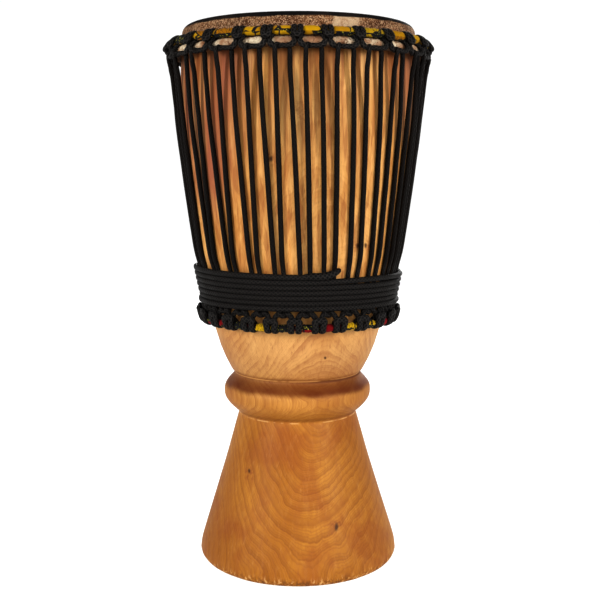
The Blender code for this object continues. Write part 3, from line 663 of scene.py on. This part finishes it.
def make_shell(mat):
    prof = [(0.1000, 0.0000), (0.1022, 0.0000), (0.1045, 0.0002)]
    for i in range(1, 9):
        a = math.radians(-90 + 84 * i / 8)
        prof.append((0.1045 + 0.0112 * math.cos(a), 0.0112 + 0.0112 * math.sin(a)))
    zs = np.concatenate([np.arange(0.0170, 0.160, 0.0036), np.arange(0.160, 0.290, 0.0012), np.arange(0.290, 0.596, 0.0042)])
    line = [(0.0130, 0.1155), (0.0160, 0.1149)] + OUTER
    prof += [(float(r), float(z)) for z, r in zip(zs, hermite(line, zs))]
    for a in range(-10, 100, 10):
        a = math.radians(a)
        prof.append((0.1192 + 0.0080 * math.cos(a), 0.6022 + 0.0080 * math.sin(a)))
    prof += [(0.1165, 0.6098), (0.1142, 0.6082), (0.1124, 0.6040)]
    zi = np.concatenate([np.arange(0.598, 0.260, -0.006), np.arange(0.260, 0.150, -0.004), np.arange(0.150, 0.006, -0.005)])
    prof += [(float(r), float(z)) for z, r in zip(zi, hermite(HOLLOW, zi))]
    prof += [(0.0964, 0.0030), (0.0970, 0.0006), (0.0980, 0.0000)]

    def shape(A, R, Z):
        X, Y = R * np.sin(A), -R * np.cos(A)
        big = fbm(X * 9, Y * 9, Z * 5, 1)
        small = fbm(X * 60, Y * 60, Z * 22, 2)
        d = 0.00055 * big + 0.00014 * small
        # adze marks inside
        inner = np.zeros_like(R); inner[-(len(zi) + 3):] = 1
        facets = np.cos(A * 34 + 5.0 * np.sin(Z * 60)) * np.cos(Z * 260 + A * 3)
        d = d + inner * 0.00045 * facets
        # chipped, worn edge of the foot
        edge = np.clip((0.014 - Z) / 0.014, 0, 1) * (1 - inner)
        chips = fbm(X * 75, Y * 75, Z * 75, 3)
        d = d - edge * 0.0011 * np.clip(chips + 0.15, 0, 1)
        # the log leans a little: the lower half sits a hair to the left
        drift = hermite([(0.0, -0.0006), (0.08, -0.0008), (0.20, -0.0016), (0.28, -0.0014), (0.36, -0.0002), (0.45, 0.0), (0.62, 0.0)], Z.ravel()).reshape(Z.shape)
        rim = np.clip((0.596 - Z) / 0.02, 0, 1)
        d = d * np.where(Z < 0.001, 0, 1) * np.where(inner > 0, 1, rim)
        R2 = R + d
        Z2 = Z.copy()
        Z2 += np.where((Z < 0.004) & (Z > 0.00001), 0.0004 * np.clip(chips, 0, 1), 0)
        return R2 * np.sin(A) + drift, -R2 * np.cos(A), np.maximum(Z2, 0)

    mesh = lathe("carved_shell", prof, 256, shape)
    link("carved_shell", mesh, mat, ["shell"])


def nearest(angles, deg):
    """How far each angle of an array is from the nearest of the given ones, in degrees."""
    d = deg[..., None] - np.array(angles)
    return np.abs((d + 180.0) % 360.0 - 180.0).min(-1)


def make_hide(mat):
    out = [(0.0, 0.6118)] + [(r, 0.6118) for r in (0.010, 0.025, 0.045, 0.065, 0.085, 0.100, 0.110, 0.1165)]
    for i in range(0, 11):
        a = math.radians(90 - 9 * i)
        out.append((0.1206 + 0.0098 * math.cos(a), 0.6020 + 0.0098 * math.sin(a)))
    out += [(0.1306, 0.5990), (0.1309, 0.5960), (0.1313, 0.5930), (0.1316, 0.5900), (0.1318, 0.5870), (0.1319, 0.5845)]
    fr, fz = ROLL
    ro, ri = 0.0049, 0.0037
    far, near = [], []
    for i in range(0, 23):
        a = math.radians(180 + (440 - 180) * i / 22)
        far.append((fr + ro * math.cos(a), fz + ro * math.sin(a)))
        near.append((fr + ri * math.cos(a), fz + ri * math.sin(a)))
    # down the outside, round the hoop on the outer line, back on the inner line, up the inside
    inner = [(0.1307, 0.5845), (0.1306, 0.5870), (0.1303, 0.5900), (0.1299, 0.5930), (0.1295, 0.5960), (0.1291, 0.5990)]
    for i in range(0, 11):
        a = math.radians(9 * i)
        inner.append((0.1192 + 0.0085 * math.cos(a), 0.6020 + 0.0085 * math.sin(a)))
    inner += [(r, 0.6105) for r in (0.1150, 0.100, 0.075, 0.050, 0.025)] + [(0.0, 0.6105)]
    # the sheet: outer collar surface continues to the hoop-side (near) line, the far line is the sheet's other face
    prof = out + near + far[::-1] + inner
    n_out, n_near, n_far = len(out), len(near), len(far)

    def shape(A, R, Z):
        X, Y = R * np.sin(A), -R * np.cos(A)
        idx = np.arange(len(R))[:, None] * np.ones_like(R)
        on_far = (idx >= n_out + n_near) & (idx < n_out + n_near + n_far)
        # small waves of the dry hide on the collar
        collar = np.clip((0.608 - Z) / 0.006, 0, 1) * np.clip((Z - 0.5845) / 0.004, 0, 1)
        waves = fbm(X * 45, Y * 45, Z * 20, 11)
        d = collar * (0.00045 * waves)
        # the rolled flap is puffy and creased between the hitches, and squeezed at them
        deg = np.degrees(A)
        free = np.clip((nearest(TOP, deg) - 1.0) / 3.2, 0, 1)
        free = free * free * (3 - 2 * free)
        ca, sa = R - fr, Z - fz
        q = np.maximum(np.hypot(ca, sa), 1e-6)
        lump = fbm(np.sin(A) * 11, np.cos(A) * 11, Z * 60, 12)
        crease = np.abs(fbm(np.sin(A) * 30, np.cos(A) * 30, Z * 110, 13))
        wrinkle = np.abs(fbm(np.sin(A) * 62, np.cos(A) * 62, Z * 170, 14))
        puff = 0.00055 * free + 0.00035 * lump * free - 0.0012 * free * np.clip(0.16 - crease, 0, 1) * 5 * 0.8 \
            - 0.0006 * np.clip(0.14 - wrinkle, 0, 1) * 5 * 0.6
        inner_side = np.clip((0.1345 - R) / 0.002, 0, 1) * np.clip((Z - 0.579) / 0.003, 0, 1)
        flap = on_far * puff * (1 - inner_side)
        R2 = R + d + flap * ca / q
        Z2 = Z + flap * sa / q
        # the head is tight, with a faint dish
        Z2 = Z2 - np.where(Z > 0.6100, 0.0004 * np.clip(1 - (R / 0.112) ** 2, 0, 1), 0)
        Z2 = np.minimum(Z2, 0.6118)
        return R2 * np.sin(A), -R2 * np.cos(A), Z2

    mesh = lathe("hide_head", prof, 432, shape)
    link("hide_head", mesh, mat, ["head_skin"])


def make_wrap(name, cr, cz, knots, full, nipped, grip, turns, mat, node, seed):
    """Cloth strip wound round a hoop: overlapping turns with soft edges, full between the hitches
    and nipped by them. grip gives the half width of a hitch and of the slope beside it, in degrees."""
    sides, seg = 26, 1080
    ang = np.linspace(0, 2 * math.pi, sides, endpoint=False)
    prof = [(cr + full * math.cos(t), cz + full * math.sin(t)) for t in ang]

    def shape(A, R, Z):
        t = np.arctan2(Z - cz, R - cr)
        phase = (A * turns + t) / (2 * math.pi)
        f = phase - np.floor(phase)
        free = np.clip((nearest(knots, np.degrees(A)) - grip[0]) / grip[1], 0, 1)
        free = np.sqrt(np.clip(free * (2 - free), 0, 1))
        lap = 0.00050 * (f ** 3) * (0.35 + 0.65 * free)            # each turn ends in a raised edge
        wob = fbm(np.sin(A) * 30, np.cos(A) * 30, t * 0.8, seed) * 0.00035 * free
        q = nipped + (full - nipped) * free + lap + wob
        R2 = cr + q * np.cos(t)
        Z2 = cz + q * np.sin(t)
        return R2 * np.sin(A), -R2 * np.cos(A), Z2
    prof = prof[::-1]
    mesh = lathe(name, prof, seg, shape, u_scale=2 * math.pi * cr, v_scale=1.0)
    return link(name, mesh, mat, [node])


def mid(angles, i):
    a, b = angles[i % BAYS], angles[(i + 1) % BAYS]
    if b < a:
        b += 360
    return (a + b) / 2


def rows(points):
    """(deg, r, z, radius, flatness[, hub]) in degrees and millimetres to rows in metres. The rope is
    squeezed towards the hub, a point (r, z) of the same half plane, or else towards the drum's axis."""
    out = []
    for p in points:
        deg, r, z, rad, f = p[:5]
        nr, nz = (r - p[5][0], z - p[5][1]) if len(p) > 5 and p[5] else (1.0, 0.0)
        length = math.hypot(nr, nz)
        nr, nz = nr / length, nz / length
        a = math.radians(deg)
        out.append((*at(deg, r / 1000, z / 1000), rad / 1000, f, nr * math.sin(a), -nr * math.cos(a), nz))
    return out


CROWN = (140.7, 590.6)       # middle of the cloth on the crown hoop
LOWER = (109.0, 286.8)       # middle of the cloth on the lower hoop
ARC = (145.3, 575.4)         # bays of the crown cradle
SLING = (105.1, 306.4)       # bays of the lower cradle, under the binding


# half of a crown hitch, from the bay to the bar's middle: in front of the roll, nipped between hoop
# and roll, up behind the hoop, over it, down its front and into the bar that holds the rope's start
def crown_half():
    c = CROWN
    return [(4.6, 144.9, 575.3, 2.35, 1.0), (3.8, 145.0, 575.3, 2.4, 1.0), (3.0, 145.2, 575.6, 2.6, 1.0),
            (2.15, 145.4, 576.2, 2.95, 0.92), (1.42, 145.6, 578.0, 3.05, 0.86), (1.04, 145.3, 580.0, 2.75, 0.92),
            (1.02, 144.6, 581.9, 2.5, 0.95), (1.40, 143.6, 583.8, 2.4, 0.90), (1.95, 142.0, 585.3, 2.35, 0.85, c),
            (2.10, 139.4, 586.3, 2.3, 0.70, c), (1.85, 136.6, 588.1, 2.5, 0.64, c), (1.50, 135.9, 591.0, 2.7, 0.58, c),
            (1.25, 136.9, 593.6, 2.85, 0.54, c), (1.20, 139.2, 595.0, 2.9, 0.51, c),
            (1.20, 141.4, 595.05, 2.9, 0.50, c), (1.21, 143.6, 594.0, 2.9, 0.54, c), (1.23, 145.6, 591.9, 2.95, 0.66, c),
            (1.25, 147.1, 589.4, 3.0, 0.80, c), (1.06, 148.3, 587.2, 3.05, 0.90), (0.58, 148.9, 586.0, 3.15, 0.92)]


def make_crown_cradle(mat, node):
    r = random.Random(3)
    pts = []
    for i in range(BAYS):
        k = TOP[i] + r.uniform(-0.12, 0.12)
        dz, tilt, fat = r.uniform(-0.45, 0.35), r.uniform(-0.9, 0.9), r.uniform(0.96, 1.03)

        def place(side, p):
            d, rr, z, rad, f = p[:5]
            hub = p[5] if len(p) > 5 else None
            low = max(0.0, min(1.0, (592.0 - z) / 4.0)) if rr > 144 and d < 1.4 else 0.0
            lift = (dz + side * tilt * 0.5) * low
            if z < 579.0:
                lift = dz * 0.4
            # at its left corner a bay is pressed in by the lacing that runs down in front of it
            if side > 0 and d > 2.9 and z < 579.0:
                rr, z, rad = rr - (1.7 if d > 3.5 else 0.8), z - (0.8 if d > 3.5 else 0.4), rad * (0.84 if d > 3.5 else 0.95)
            pts.append((k + side * d, rr, z + lift, rad * (fat if z > 579.0 else 1.0), f, hub))

        half = crown_half()
        for p in half:
            place(-1, p)
        pts.append((k, 149.1, 585.6 + dz, 3.2 * fat, 0.92, None))
        for p in reversed(half):
            place(1, p)
        pts.append((mid(TOP, i), ARC[0] + r.uniform(-0.2, 0.2), ARC[1] + r.uniform(-0.25, 0.25), 2.4, 1.0, None))
    mesh = rope_mesh("crown_hitches", spline(rows(pts), 0.0014, True), True, sides=14)
    link("crown_hitches", mesh, mat, [node])


# the same hitch upside down round the lower hoop
def lower_half():
    c = LOWER
    return [(5.6, 105.4, 303.7, 2.7, 0.86), (4.8, 106.0, 303.4, 2.8, 0.90), (3.9, 107.2, 302.4, 3.0, 0.95),
            (2.9, 108.6, 300.6, 3.1, 0.95), (2.0, 109.4, 298.3, 3.0, 0.92), (1.55, 109.5, 296.0, 2.7, 0.92),
            (1.6, 108.5, 294.0, 2.5, 0.95), (1.8, 106.9, 292.2, 2.5, 0.95), (2.0, 105.0, 290.2, 2.6, 0.92, c),
            (2.0, 103.8, 287.0, 2.8, 0.86, c), (2.0, 104.6, 284.0, 3.1, 0.70, c), (2.0, 106.7, 282.5, 3.3, 0.54, c),
            (2.0, 109.2, 282.2, 3.45, 0.49, c), (2.0, 111.7, 283.0, 3.55, 0.50, c), (2.0, 113.3, 285.0, 3.6, 0.56, c),
            (2.02, 114.1, 287.4, 3.6, 0.62, c), (2.15, 114.6, 289.8, 3.6, 0.70), (2.45, 115.0, 292.2, 3.55, 0.76),
            (2.62, 115.3, 294.4, 3.4, 0.78), (1.7, 115.6, 295.9, 3.6, 0.76)]


def make_lower_cradle(mat, node):
    r = random.Random(4)
    pts = []
    for i in range(BAYS):
        k = LOW[i] + r.uniform(-0.15, 0.15)
        m = mid(LOW, i)
        dz, tilt, fat = r.uniform(-0.4, 0.4), r.uniform(-1.0, 1.0), r.uniform(0.96, 1.02)

        def place(side, p):
            d, rr, z, rad, f = p[:5]
            hub = p[5] if len(p) > 5 else None
            low = max(0.0, min(1.0, (z - 285.0) / 5.0)) if rr > 113 else 0.0
            # on its right a bay's rope is lifted by the lacing behind it
            up = 2.2 if side < 0 and d > 3.5 else 0.0
            pts.append((k + side * d, rr + up, z + (dz + side * tilt * 0.5) * low, rad * fat, f, hub))

        half = lower_half()
        for p in half:
            place(-1, p)
        pts.append((k, 115.8, 295.7 + dz, 3.75 * fat, 0.75, None))
        for p in reversed(half):
            place(1, p)
        for d, rr, z in ((-1.2, SLING[0] + 0.4, 304.1), (0.8, SLING[0] + 1.9, 304.3)):
            pts.append((m + d, rr, z, 2.8, 0.66, None))
    mesh = rope_mesh("lower_hitches", spline(rows(pts), 0.0014, True), True, sides=14)
    link("lower_hitches", mesh, mat, [node])


def make_lacing(mat):
    r = random.Random(5)
    pts = []
    levels = [(556, 0.0), (534, 0.12), (509, 0.25), (486, 0.375), (464, 0.49), (438, 0.62), (412, 0.73), (386, 0.87), (362, 1.0)]

    def leg_r(z, start):
        rest = bowl(z / 1000) * 1000 + 2.75
        if z > 509:
            return start + (137.1 - start) * (568 - z) / 59.0
        if z > 464:
            return max(137.1 + (132.1 - 137.1) * (509 - z) / 45.0, rest)
        return rest

    def size(z):
        return 2.5 + 0.2 * max(0.0, min(1.0, (520 - z) / 60.0))

    for i in range(BAYS):
        a = mid(TOP, i)
        k = i if i <= 13 else i - BAYS
        same, after = mid(LOW, i), mid(LOW, (i + 1) % BAYS)
        while same < a - 180: same += 360
        while same > a + 180: same -= 360
        while after < same: after += 360
        while after > same + 180: after -= 360
        if k in LEGS:
            left, right = [[v + (360 if a > 180 else 0) for v in leg] for leg in LEGS[k]]
        else:
            left = (a - 3.2 + r.uniform(-0.5, 0.4), same + 0.3 + r.uniform(-0.5, 0.5))
            right = (a + 3.3 + r.uniform(-0.4, 0.6), after - 4.2 + r.uniform(-0.5, 0.5))
        tl, tr = left[0], right[0]
        start_l, start_r = (144.7 if abs(k) < 5 else 143.9), 140.9
        # up behind the lower bay and under the binding, then up the left leg
        pts += [(same + 2.3, 104.6, 303.0, 2.4, 0.75), (same + 2.45, 105.3, 308.0, 2.4, 0.75)]
        for z, s in ((313.0, 0.85), (322.0, 0.66), (334.0, 0.42), (346.0, 0.2)):
            pts.append((left[1] + (same + 2.45 - left[1]) * s, bowl(z / 1000) * 1000 + 2.25, z, 2.55, 0.84))
        for z, s in reversed(levels):
            pts.append((tl + (left[1] - tl) * s, leg_r(z, start_l), z, size(z), 1.0))
        # over the crown bay at its left corner, then hidden behind it to the right corner
        pts += [(tl, start_l, 562.5, 2.5, 1.0), (tl, start_l + 0.6, 566.8, 2.45, 0.97), (tl + 0.04, 146.1, 570.8, 2.35, 0.86),
                (tl + 0.08, 146.9, 573.9, 2.3, 0.74), (tl + 0.25, 146.2, 576.4, 2.2, 0.72, (143.3, 574.0)),
                (tl + 0.75, 144.1, 577.6, 2.1, 0.72, (143.4, 574.2)), (tl + 1.5, 142.1, 576.8, 2.05, 0.76, ARC),
                (a - 0.4, 141.3, 575.4, 2.05, 0.82, ARC), (a + 1.2, 141.1, 575.2, 2.1, 0.84, ARC),
                (tr - 0.75, 140.9, 575.0, 2.2, 0.92), (tr - 0.15, 140.9, 573.2, 2.4, 1.0), (tr, 140.9, 569.0, 2.5, 1.0)]
        for z, s in levels:
            pts.append((tr + (right[1] - tr) * s, leg_r(z, start_r), z, size(z), 1.0))
        hook = after - 2.45
        for z, s in ((346.0, 0.2), (334.0, 0.42), (322.0, 0.66), (314.0, 0.84)):
            pts.append((right[1] + (hook - right[1]) * s, bowl(z / 1000) * 1000 + 2.25 + (0.6 if z < 315 else 0.0), z, 2.55, 0.84))
        # out over the sling, round under it and up behind it
        b = after
        pts += [(b - 2.5, 108.6, 308.6, 2.45, 0.76), (b - 2.45, 109.4, 304.2, 2.5, 0.80), (b - 1.9, 109.9, 301.1, 2.6, 0.95),
                (b - 0.7, 109.6, 300.0, 2.6, 0.98), (b + 0.7, 107.9, 300.0, 2.6, 0.95), (b + 1.8, 105.8, 300.9, 2.5, 0.85)]
    mesh = rope_mesh("lacing", spline(rows(pts), 0.0022, True), True)
    link("lacing", mesh, mat, ["lacing_rope"])


def make_binding(mat):
    r = random.Random(9)
    start, end = -158.0, 2.0
    total = 6 * 360 + (end - start)
    # height of the turns at the left, the front and the right, by turn
    marks = []
    for k in range(7):
        for a, z in ((-90, 307.2 + 6.05 * k), (-45, 307.7 + 5.90 * k), (0, 308.1 + 5.63 * k), (45, 307.2 + 5.80 * k), (90, 306.4 + 5.90 * k)):
            # the top turn is pushed up a little at the front right
            marks.append((a + 360 * k - start, z + (1.3 if k == 5 and a == 45 else 0.0) + (0.2 if k == 0 else 0.0)))
    marks = [(0.0, 304.6)] + [m for m in marks if 0 < m[0] < total + 60]
    sway = [[r.uniform(-0.30, 0.30) for _ in range(5)] for _ in range(9)]
    per = 4.0
    n = int(total / per)
    pts = []
    for i in range(n + 1):
        d = total * i / n
        a = start + d
        turn = d / 360
        z = float(hermite(marks, d))
        z += sum(w * math.sin(math.radians(a * (j + 1)) + j * 2 + int(turn) * 1.7) for j, w in enumerate(sway[int(turn)])) * 0.35
        low = max(0.0, min(1.0, (311.5 - z) / 3.0))      # the lowest turn lies over the slings too
        # the rope bridges from one pair of legs to the next and dips between them
        dip = 0.22 * math.cos(math.radians((a - 3.5) * BAYS)) + 0.15 * math.sin(math.radians(a * 5 + 40 * turn))
        out = bowl(z / 1000) * 1000 + 7.15 + low * 2.4 + dip
        pts.append((a, out, z, 3.02, 0.90 - 0.04 * low))
    a, rr, z, rad, f = pts[-1][:5]
    for da, dr, dz, rad, f in ((3.0, 0.7, 0.9, 3.5, 1.0), (6.0, 1.5, 1.0, 4.0, 1.0), (10.0, 1.9, 1.0, 4.1, 1.0), (13.5, 2.0, 2.2, 4.0, 1.0),
                               (16.0, 2.0, 4.3, 3.7, 1.0), (18.0, 2.0, 6.4, 3.2, 1.0), (19.2, 2.0, 7.8, 2.2, 1.0), (19.6, 2.0, 8.2, 0.9, 1.0)):
        pts.append((a + da, rr + dr, z + dz, rad, f))
    mesh = rope_mesh("binding", spline(rows(pts), 0.003, False), False, sides=16)
    link("binding", mesh, mat, ["binding_rope"])


# ------------------------------------------------------------------ build
rng = random.Random(27)
TOP_DEV = {-5: -1.3, -4: 2.2, -3: 0.8, -2: 2.0, -1: 0.8, 0: -0.4, 1: -1.6, 2: -1.8, 3: -0.8, 4: -0.9, 5: -0.9}
LOW_DEV = {-2: 0.0, -1: -0.1, 0: -0.4, 1: -0.5, 2: -2.2, 3: -0.9}
TOP = [k * STEP + TOP_DEV.get(k if k <= 13 else k - BAYS, rng.uniform(-0.8, 0.8)) for k in range(BAYS)]
LOW = [k * STEP - 1.5 + LOW_DEV.get(k if k <= 13 else k - BAYS, rng.uniform(-0.7, 0.7)) for k in range(BAYS)]
# the legs of the front bays: (angle at the crown, angle above the binding) of the left and the right leg
LEGS = {-7: ((-90.5, -93.0), (-84.0, -82.0)), -6: ((-77.5, -80.0), (-71.5, -69.0)), -5: ((-65.2, -66.8), (-57.0, -55.0)),
        -4: ((-49.4, -51.2), (-43.2, -40.5)), -3: ((-34.9, -36.4), (-28.5, -26.2)), -2: ((-21.5, -21.6), (-16.0, -12.8)), -1: ((-9.2, -8.4), (-3.4, 0.6)),
        0: ((2.9, 5.9), (9.5, 13.2)), 1: ((15.6, 19.2), (23.2, 27.6)), 2: ((29.0, 33.9), (36.9, 41.6)),
        3: ((43.7, 47.5), (50.3, 54.5)), 4: ((57.2, 60.6), (64.8, 66.8)), 5: ((67.2, 70.4), (74.5, 79.0)), 6: ((80.5, 85.5), (87.0, 92.5))}
ROLL = (0.1364, 0.5804)

make_stage()
wood = wood_material()
hide = hide_material()
rope = rope_material()
steel = steel_material()
crown_print = cloth_material("printed_cotton_yellow", (0.300, 0.158, 0.001),
                             [(0.30, (0.350, 0.202, 0.0015)), (0.55, (0.250, 0.110, 0.001)), (0.75, (0.320, 0.205, 0.005))], 0.32)
lower_print = cloth_material("printed_cotton_red", (0.165, 0.003, 0.005),
                             [(0.40, (0.205, 0.005, 0.008)), (0.68, (0.430, 0.272, 0.007)), (0.90, (0.018, 0.042, 0.013))], 0.40)
make_shell(wood)
make_hide(hide)
make_wrap("crown_wrap", 0.1407, 0.5906, TOP, 0.0043, 0.00295, (2.35, 1.5), 95, crown_print, "crown_hoop_cloth", 31)
make_wrap("lower_wrap", 0.1090, 0.2868, LOW, 0.0041, 0.0029, (3.4, 1.6), 74, lower_print, "lower_hoop_cloth", 32)
make_crown_cradle(rope, "crown_loop_rope")
make_lower_cradle(rope, "lower_loop_rope")
make_lacing(rope)
make_binding(rope)
for name in ("flesh_hoop", "crown_hoop", "lower_hoop"):
    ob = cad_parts[name]
    ob.data.materials.clear()
    ob.data.materials.append(steel)
